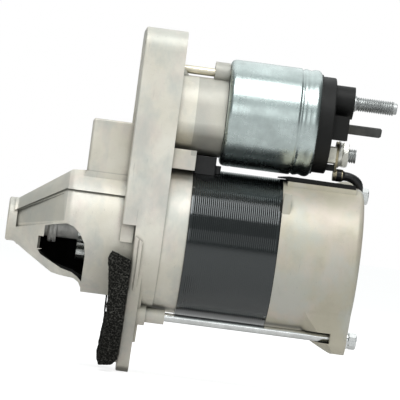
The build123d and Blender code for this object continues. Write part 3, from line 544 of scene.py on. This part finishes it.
def capped(verts, faces, rows, around):
    """Close both ends of a stack of rings."""
    faces.append(tuple(range(around)))
    faces.append(tuple((rows - 1) * around + j for j in range(around)))
    return verts, faces


def lathe(outline, centre, around):
    """Revolve a closed outline, whose last point joins its first."""
    verts, faces = revolved(outline, centre, around)
    rows = len(outline)
    for j in range(around):
        k = (j + 1) % around
        faces.append(((rows - 1) * around + j, (rows - 1) * around + k, k, j))
    return verts, faces


def solid_lathe(outline, centre, around):
    """Revolve an open outline and close its two ends with discs."""
    verts, faces = revolved(outline, centre, around)
    return capped(verts, faces, len(outline), around)


THREAD_PITCH = 1.25
THREAD_DEPTH = 0.6 * THREAD_PITCH
THREAD_AROUND = 40
THREAD_STEPS = 8
THREAD_RUNOUT = 1.0
RUNOUT_DROP = 0.12


def threaded(start, end, radius, centre):
    """A rod with a real helical thread between two stations."""
    rows = round((end - start) / THREAD_PITCH * THREAD_STEPS)
    stations = [start + (end - start) * i / rows for i in range(rows + 1)]

    def radius_at(x, _, angle):
        turn = (x / THREAD_PITCH + angle / (2 * math.pi)) % 1.0
        groove = THREAD_DEPTH * abs(2 * turn - 1)
        fade = min(1.0, (x - start) / THREAD_RUNOUT, (end - x) / THREAD_RUNOUT)
        return radius - RUNOUT_DROP * (1 - fade) - groove * max(fade, 0.0)

    verts, faces = rings(stations, radius_at, centre, THREAD_AROUND)
    return capped(verts, faces, rows + 1, THREAD_AROUND)


CHAMFER_STEPS = [0.0, 0.15, 0.35, 0.6, 0.9]


def hexagon(start, end, across, centre, chamfer, turned, bore=0.0, around=72):
    """A hexagon head or nut along X with round chamfers on its ends."""
    front = [start + step for step in CHAMFER_STEPS]
    back = [end - step for step in reversed(CHAMFER_STEPS)]
    stations = front + [start + (end - start) / 2] + back

    def radius_at(x, _, angle):
        from_flat = (angle - turned + math.pi / 6) % (math.pi / 3) - math.pi / 6
        flat = across / 2 / math.cos(from_flat)
        near_end = min(x - start, end - x)
        return min(flat, across / 2 - chamfer + near_end * math.sqrt(3))

    verts, faces = rings(stations, radius_at, centre, around)
    rows = len(stations)
    if not bore:
        return capped(verts, faces, rows, around)
    inner, inner_faces = rings([end, start], lambda x, i, a: bore, centre, around)
    base = len(verts)
    faces += [tuple(base + v for v in f) for f in inner_faces]
    for j in range(around):
        k = (j + 1) % around
        last = (rows - 1) * around
        faces.append((last + j, last + k, base + k, base + j))
        faces.append((base + around + j, base + around + k, k, j))
    return verts + inner, faces


def joined(*solids):
    """Put several solids in one mesh."""
    verts, faces = [], []
    for more_verts, more_faces in solids:
        base = len(verts)
        verts += more_verts
        faces += [tuple(base + v for v in f) for f in more_faces]
    return verts, faces


def box_mm(node):
    """A node's low and high corners in millimetres."""
    low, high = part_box(node)
    return Vector(low) / MM, Vector(high) / MM


def axis_of(node):
    """The (y, z) middle of a node in millimetres."""
    low, high = box_mm(node)
    return (low.y + high.y) / 2, (low.z + high.z) / 2


# ---------------------------------------------------------------- yoke
RIDGE_PITCH = 1.1
RIDGE_DEPTH = 0.22
RIDGE_STEPS = 8
YOKE_WALL = 4.0
YOKE_CHAMFER = 0.3
YOKE_PLAIN = 1.2


def make_yoke():
    """The painted yoke tube, finely ridged by turning."""
    low, high = box_mm("yoke")
    radius = (high.z - low.z) / 2
    shoulder, bore = radius - YOKE_CHAMFER, radius - YOKE_WALL
    ridged = high.x - low.x - 2 * YOKE_PLAIN
    count = round(ridged / RIDGE_PITCH)
    begin = low.x + YOKE_PLAIN
    pitch = ridged / count
    outline = [(low.x, bore), (low.x, shoulder), (low.x + YOKE_CHAMFER, radius)]
    for ridge in range(count):
        for step in range(RIDGE_STEPS):
            share = step / RIDGE_STEPS
            drop = 1 - math.sin(math.pi * share)
            outline.append((begin + pitch * (ridge + share), radius - RIDGE_DEPTH * drop))
    outline += [(high.x - YOKE_CHAMFER, radius), (high.x, shoulder), (high.x, bore)]
    verts, faces = lathe(outline, axis_of("yoke"), 160)
    piece = place("ridged_yoke", verts, faces, MATERIALS["black_paint"], "yoke", sharp=60)
    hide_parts("yoke")


# ---------------------------------------------------------------- solenoid can
CAN_FRONT_R = 2.8
CAN_BACK_R = 3.0
CAN_WALL = 2.2
CAN_MOUTH = 14.0
CAN_MOUTH_DEPTH = 1.8
GROOVE_FROM_BACK = 10.8
# Each point is a distance along the can and how far it lies under the outer radius
CAN_LINE = [(5.6, 0.0), (6.0, 0.12), (6.4, 0.12), (6.8, 0.0)]
CAN_GROOVE = [(-1.4, 0.0), (-0.7, 0.1), (-0.2, 0.75), (0.3, 0.8), (0.9, 0.35), (1.7, 0.1)]
CAN_WAIST = [(2.8, 0.3), (4.2, 0.75), (5.4, 0.5), (6.6, 0.05), (7.4, 0.0)]
CAN_RIM = [(0.0, 3.6), (-0.6, 3.8), (-2.0, CAN_WALL)]


def quarter_turn():
    """Angles from 0 to 90 degrees in seven steps."""
    return [math.radians(15 * step) for step in range(7)]


def make_can():
    """The deep-drawn can with its rolled groove and the soft waist behind it."""
    low, high = box_mm("solenoid_can")
    r = (high.z - low.z) / 2
    front, back = low.x, high.x
    inside = front + CAN_MOUTH_DEPTH
    groove = back - GROOVE_FROM_BACK
    outline = [(inside, CAN_MOUTH), (front, CAN_MOUTH), (front, r - CAN_FRONT_R - 0.4)]
    for a in quarter_turn():
        along, out = CAN_FRONT_R * math.cos(a), CAN_FRONT_R * math.sin(a)
        outline.append((front + CAN_FRONT_R - along, r - CAN_FRONT_R + out))
    outline += [(front + x, r - drop) for x, drop in CAN_LINE]
    outline += [(groove + x, r - drop) for x, drop in CAN_GROOVE + CAN_WAIST]
    for a in quarter_turn():
        along, out = CAN_BACK_R * math.sin(a), CAN_BACK_R * math.cos(a)
        outline.append((back - CAN_BACK_R + along, r - CAN_BACK_R + out))
    outline += [(back + x, r - drop) for x, drop in CAN_RIM]
    outline.append((inside, r - CAN_WALL))
    verts, faces = lathe(outline, axis_of("solenoid_can"), 144)
    piece = place("solenoid_drawn_can", verts, faces, MATERIALS["zinc"], "solenoid_can", sharp=50)
    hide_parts("solenoid_can")


# ---------------------------------------------------------------- studs, nut and bolts
STUD_R = 4.0
COLLAR_R = 4.5
COLLAR_END = 120.4
COLLAR_CHAMFER = 0.4
POINT_LENGTH = 1.9
POINT_R = 3.1
POINT_CHAMFER = 0.3
HEAD_THICK = 2.0
HEAD_OVERLAP = 0.2
BATTERY_HEAD_CORNER = 5.8
MOTOR_HEAD_CORNER = 5.5
MOTOR_THREAD_START = 118.6


def stud_head(start, corner, centre):
    """The square head of a stud, hidden in the cap."""
    return solid_lathe([(start, corner), (start + HEAD_THICK, corner)], centre, 4)


def make_battery_stud():
    """The long stud with its collar, thread and plain point."""
    low, high = box_mm("battery_stud")
    centre = axis_of("battery_stud")
    tip = high.x - POINT_LENGTH
    base = low.x + HEAD_THICK - HEAD_OVERLAP
    shoulder = [(COLLAR_END - COLLAR_CHAMFER, COLLAR_R), (COLLAR_END, COLLAR_R - COLLAR_CHAMFER)]
    collar = solid_lathe([(base, COLLAR_R)] + shoulder, centre, 48)
    thread = threaded(COLLAR_END - HEAD_OVERLAP, tip, STUD_R, centre)
    end = [(high.x - POINT_CHAMFER, POINT_R), (high.x, POINT_R - POINT_CHAMFER)]
    point = solid_lathe([(tip - 0.6, POINT_R)] + end, centre, 40)
    head = stud_head(low.x, BATTERY_HEAD_CORNER, centre)
    verts, faces = joined(collar, thread, point, head)
    piece = place("battery_stud_threaded", verts, faces, STUD_METAL, "battery_stud", sharp=40)
    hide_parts("battery_stud")


def make_motor_stud():
    """The short stud that carries the nut and the lead."""
    low, high = box_mm("motor_stud")
    centre = (0.0, high.z - 5.0)
    thread = threaded(MOTOR_THREAD_START, high.x, STUD_R, centre)
    base = low.x + HEAD_THICK - HEAD_OVERLAP
    top = MOTOR_THREAD_START + HEAD_OVERLAP
    shank = solid_lathe([(base, STUD_R - 0.02), (top, STUD_R - 0.02)], centre, 40)
    head = stud_head(low.x, MOTOR_HEAD_CORNER, centre)
    verts, faces = joined(thread, shank, head)
    piece = place("motor_stud_threaded", verts, faces, STUD_METAL, "motor_stud", sharp=40)
    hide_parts("motor_stud")


NUT_ACROSS = 13.0
NUT_CHAMFER = 0.35
NUT_TURN = 25


def make_nut():
    """The chamfered nut on the motor stud."""
    low, high = box_mm("motor_stud_nut")
    centre = axis_of("motor_stud_nut")
    verts, faces = hexagon(
        low.x, high.x, NUT_ACROSS, centre, NUT_CHAMFER, math.radians(NUT_TURN), bore=STUD_R - 0.1
    )
    piece = place("motor_stud_hex_nut", verts, faces, NUT_METAL, "motor_stud_nut", sharp=25)
    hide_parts("motor_stud_nut")


BOLT_CENTRES = ((-15.0, -42.4), (24.9, 37.5))
BOLT_R = 2.4
BOLT_CHAMFER = 0.3
BOLT_ACROSS = 8.0
BOLT_HEAD_START = 131.4
BOLT_FLANGE = [(130.1, 4.3), (130.4, 4.6), (131.1, 4.6), (131.5, 4.3)]


def make_bolts():
    """The two long through bolts with flanged hexagon heads."""
    low, high = box_mm("through_bolts")
    tip = [(low.x, BOLT_R - BOLT_CHAMFER), (low.x + BOLT_CHAMFER, BOLT_R)]
    parts = []
    for centre in BOLT_CENTRES:
        parts.append(solid_lathe(tip + [(BOLT_HEAD_START, BOLT_R)], centre, 32))
        parts.append(solid_lathe(BOLT_FLANGE, centre, 40))
        parts.append(
            hexagon(BOLT_HEAD_START, high.x, BOLT_ACROSS, centre, BOLT_CHAMFER, 0.0, around=48)
        )
    verts, faces = joined(*parts)
    piece = place("through_bolts_finished", verts, faces, BOLT_METAL, "through_bolts", sharp=25)
    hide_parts("through_bolts")


# ---------------------------------------------------------------- motor lead
LEAD_R = 2.6
SLEEVE_R = 3.5
SLEEVE_LENGTH = 4.6
SLEEVE_FADE = 2.0
BRAID_DEPTH = 0.28
BRAID_LAY = 6.0
BRAID_STRANDS = 6
LEAD_AROUND = 36
LEAD_POINTS = [
    (0.1146, 0.0000, 0.0470),
    (0.1175, 0.0000, 0.0470),
    (0.1224, 0.0002, 0.0469),
    (0.1276, 0.0016, 0.0444),
    (0.1286, 0.0046, 0.0392),
    (0.1260, 0.0072, 0.0342),
    (0.1188, 0.0082, 0.0308),
    (0.1115, 0.0084, 0.0296),
    (0.1052, 0.0085, 0.0291),
]


def smooth_path(points):
    """Points along a NURBS spline whose control points are given."""
    curve = bpy.data.curves.new("lead_path", "CURVE")
    curve.dimensions = "3D"
    spline = curve.splines.new("NURBS")
    spline.points.add(len(points) - 1)
    for target, point in zip(spline.points, points):
        target.co = (*point, 1.0)
    spline.order_u = 3
    spline.use_endpoint_u = True
    spline.resolution_u = 14
    holder = bpy.data.objects.new("lead_path", curve)
    mesh = bpy.data.meshes.new_from_object(holder)
    path = [v.co.copy() for v in mesh.vertices]
    bpy.data.objects.remove(holder)
    bpy.data.meshes.remove(mesh)
    return path


def make_lead():
    """The braided lead, swept along its route with a woven surface."""
    path = smooth_path(LEAD_POINTS)
    verts = []
    travelled = 0.0
    side = Vector((0.0, 1.0, 0.0))
    for i, point in enumerate(path):
        ahead = path[min(i + 1, len(path) - 1)] - path[max(i - 1, 0)]
        along = ahead.normalized()
        side = (side - along * side.dot(along)).normalized()
        other = along.cross(side)
        if i:
            travelled += (point - path[i - 1]).length
        turn = travelled / (BRAID_LAY * MM) * 2 * math.pi
        sleeve = min(1.0, max(0.0, (SLEEVE_LENGTH - travelled / MM) / SLEEVE_FADE))
        for j in range(LEAD_AROUND):
            angle = 2 * math.pi * j / LEAD_AROUND
            weave = math.sin(BRAID_STRANDS * (angle + turn)) * math.sin(BRAID_STRANDS * (angle - turn))
            bare = LEAD_R - BRAID_DEPTH * (1 - weave) / 2
            r = (bare + (SLEEVE_R - bare) * sleeve) * MM
            verts.append(point + side * (r * math.cos(angle)) + other * (r * math.sin(angle)))
    faces = ring_faces(len(path), LEAD_AROUND)
    verts, faces = capped(verts, faces, len(path), LEAD_AROUND)
    piece = place("motor_lead_braided", verts, faces, MATERIALS["cable_sleeve"], "motor_lead", sharp=80)
    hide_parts("motor_lead")


# ---------------------------------------------------------------- foam
FOAM_VOXEL = 0.85
PEEL_Z = -39.0
PEEL_HALF = 11.0
PEEL_FADE = 5.0
FAR_WIDTH = 3.4
NEAR_CUT = 0.9
CELL_SCALE = 0.72
PIT_REACH = 0.62
PIT_DEPTH = 0.9
SKIN_INSET = 0.25
BACK_GAP = 0.02


def make_foam():
    """The two open-cell foam strips, with pitted faces and torn edges."""
    source = NODES["foam_seal"]
    mesh = source.data.copy()
    piece = bpy.data.objects.new("foam_strips", mesh)
    bpy.context.scene.collection.objects.link(piece)
    mesh.materials.clear()
    remesh = piece.modifiers.new("cells", "REMESH")
    remesh.mode = "VOXEL"
    remesh.voxel_size = FOAM_VOXEL * MM
    bpy.context.view_layer.update()
    evaluated = piece.evaluated_get(bpy.context.evaluated_depsgraph_get())
    shape = bpy.data.meshes.new_from_object(evaluated)
    piece.modifiers.clear()
    piece.data = shape
    bpy.data.meshes.remove(mesh)
    low, high = box_mm("foam_seal")
    shape.update()
    normals = [v.normal.copy() for v in shape.vertices]
    for vertex, normal in zip(shape.vertices, normals):
        p = vertex.co / MM
        cell = noise.voronoi(p * CELL_SCALE)[0]
        pit = max(0.0, PIT_REACH - cell[0]) * PIT_DEPTH
        tear = noise.noise(p * 0.35) * 0.45 + noise.noise(p * 1.1) * 0.25
        p -= normal * (pit + SKIN_INSET - tear)
        thin = min(1.0, max(0.0, (PEEL_HALF - abs(p.z - PEEL_Z)) / PEEL_FADE))
        ragged = 0.3 * noise.noise(p * 0.5)
        if p.y > 0:
            p.x = min(p.x, high.x + thin * (low.x + FAR_WIDTH + ragged - high.x))
        else:
            p.x = max(p.x, low.x + thin * (NEAR_CUT + ragged))
        p.x = min(max(p.x, low.x), high.x - BACK_GAP)
        p.y = min(max(p.y, low.y), high.y)
        p.z = max(p.z, low.z)
        vertex.co = p * MM
    shape.shade_smooth()
    shape.materials.append(MATERIALS["foam"])
    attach(piece, BODY_OF["foam_seal"])
    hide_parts("foam_seal")


make_yoke()
make_can()
make_battery_stud()
make_motor_stud()
make_nut()
make_bolts()
make_lead()
make_foam()

# ---------------------------------------------------------------- light and floor
LIT_POINT = Vector((0.04, 0.0, 0.02))


def soft_box(name, elevation, distance, width, height, radiance):
    """A soft box facing the motor, placed by its elevation and given by how bright it looks."""
    angle = math.radians(elevation)
    data = bpy.data.lights.new(name, "AREA")
    data.shape = "RECTANGLE"
    data.size, data.size_y = width, height
    data.energy = radiance * math.pi * width * height
    lamp = bpy.data.objects.new(name, data)
    bpy.context.scene.collection.objects.link(lamp)
    away = Vector((0.0, -distance * math.cos(angle), distance * math.sin(angle)))
    lamp.location = LIT_POINT + away
    lamp.rotation_mode = "QUATERNION"
    lamp.rotation_quaternion = away.to_track_quat("Z", "Y")
    lamp.visible_camera = False


WHITE = (1.0, 1.0, 1.0, 1.0)
ROOM_TINT = (0.93, 1.0, 1.0, 1.0)
ROOM_STRENGTH = 0.58
ROOM_FALL = -0.5


def studio():
    """A big soft box above and in front, weaker ones low in front and behind, in a pale room."""
    soft_box("key", elevation=61, distance=1.2, width=1.1, height=0.7, radiance=3.9)
    soft_box("front", elevation=12, distance=1.6, width=1.4, height=0.5, radiance=0.9)
    soft_box("back", elevation=128, distance=1.3, width=1.8, height=1.5, radiance=0.6)
    world = bpy.data.worlds.new("world")
    world.use_nodes = True
    bpy.context.scene.world = world
    tree = world.node_tree
    paths = tree.nodes.new("ShaderNodeLightPath")
    seen = tree.nodes.new("ShaderNodeBackground")
    seen.inputs["Color"].default_value = WHITE
    seen.inputs["Strength"].default_value = 1.0
    lit = tree.nodes["Background"]
    lit.inputs["Color"].default_value = ROOM_TINT
    coords = tree.nodes.new("ShaderNodeTexCoord").outputs["Generated"]
    room = SimpleNamespace(tree=tree, coords=coords)
    x, _, _ = axes_of(room)
    strength = maths(room, "MULTIPLY_ADD", maths(room, "ABSOLUTE", x), ROOM_FALL, ROOM_STRENGTH)
    tree.links.new(strength, lit.inputs["Strength"])
    mix = tree.nodes.new("ShaderNodeMixShader")
    tree.links.new(paths.outputs["Is Camera Ray"], mix.inputs[0])
    tree.links.new(lit.outputs[0], mix.inputs[1])
    tree.links.new(seen.outputs[0], mix.inputs[2])
    tree.links.new(mix.outputs[0], tree.nodes["World Output"].inputs["Surface"])
    bpy.context.scene.view_settings.view_transform = "Standard"


FLOOR_REACH = 6.0
FLOOR_GREYS = (0.5, 0.53)
FLOOR_GLOW = 0.2
FLOOR_SEEN_GLOW = 0.6


def make_floor():
    """A wide pale floor under the motor."""
    low = CAD_BOX[0][2]
    reach = FLOOR_REACH
    mesh = bpy.data.meshes.new("floor")
    corners = [(-reach, -reach), (reach, -reach), (reach, reach), (-reach, reach)]
    mesh.from_pydata([(x, y, low) for x, y in corners], [], [(0, 1, 2, 3)])
    floor = bpy.data.objects.new("floor", mesh)
    bpy.context.scene.collection.objects.link(floor)
    t = new_tree("floor")
    colour_from(t, ramp(t, noise_at(t, 3), [(0.3, FLOOR_GREYS[0]), (0.7, FLOOR_GREYS[1])]))
    set_shader(t, Roughness=1.0, Specular_IOR_Level=0.0)
    set_shader(t, Emission_Color=WHITE)
    paths = t.tree.nodes.new("ShaderNodeLightPath")
    glow = maths(t, "MULTIPLY_ADD", paths.outputs["Is Camera Ray"], FLOOR_SEEN_GLOW, FLOOR_GLOW)
    t.tree.links.new(glow, t.shader.inputs["Emission Strength"])
    mesh.materials.append(t.mat)


studio()
make_floor()
